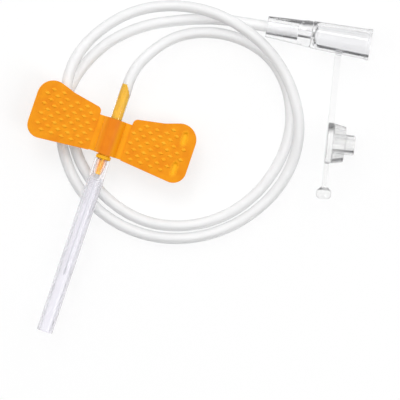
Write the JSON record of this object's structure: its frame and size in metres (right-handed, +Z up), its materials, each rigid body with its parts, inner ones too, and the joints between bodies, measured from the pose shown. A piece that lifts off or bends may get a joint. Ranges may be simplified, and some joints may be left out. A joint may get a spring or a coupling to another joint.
{
  "type": "winged infusion set",
  "caption": "Winged needle set: fine steel needle in a clear protector, folding orange grip wings, coiled soft tube, and a clear female luer connector with a tethered cap.",
  "frame": {"origin": "on the needle's axis, where the exposed cannula leaves the bead of adhesive on the hub's nose", "axes": "the needle points along -Y and the tube leaves along +Y, the right wing spreads along +X, and +Z is up from the surface that the set lies on, with the bevel facing up"},
  "size_m": [0.0606, 0.0744, 0.0078],
  "materials": {
    "steel": "ground stainless steel",
    "adhesive": "set grey adhesive",
    "hub": "smooth translucent amber moulding",
    "sleeve": "smooth soft orange moulding",
    "web": "thin soft orange moulding",
    "wing": "soft orange moulding with raised grip pips",
    "protector": "clear flexible tube with a milky cast",
    "tube": "clear soft tube",
    "connector": "clear rigid moulding",
    "cap": "clear flexible moulding"
  },
  "bodies": {
    "needle_set": {"wing_sleeve": "sleeve", "needle_hub": "hub", "cannula": "steel", "adhesive_bead": "adhesive", "left_hinge_web": "web", "right_hinge_web": "web", "tubing": "tube", "luer_connector": "connector"},
    "left_wing": {"left_wing": "wing"},
    "right_wing": {"right_wing": "wing"},
    "needle_protector": {"needle_protector": "protector"},
    "tether_cap": {"tether_cap": "cap"}
  },
  "joints": [
    {"name": "left_wing_fold", "type": "hinge", "parent": "needle_set", "child": "left_wing", "pos_m": [-0.00267, 0.0088, -0.0002], "axis": [0, 1, 0], "range_deg": [0, 80], "stiffness_Nm_per_rad": 0.001, "springref_deg": -9, "deforming": ["left_hinge_web"]},
    {"name": "right_wing_fold", "type": "hinge", "parent": "needle_set", "child": "right_wing", "pos_m": [0.00267, 0.0088, -0.0002], "axis": [0, -1, 0], "range_deg": [-10, 88], "stiffness_Nm_per_rad": 0.001, "deforming": ["right_hinge_web"]},
    {"name": "protector_slide", "type": "slide", "parent": "needle_set", "child": "needle_protector", "axis": [0, -1, 0], "range_m": [0, 0.03]},
    {"name": "cap_swing", "type": "hinge", "parent": "needle_set", "child": "tether_cap", "pos_m": [0.0362, 0.03672, -0.00113], "axis": [0, 0, 1], "range_deg": [-5, 70]}
  ]
}
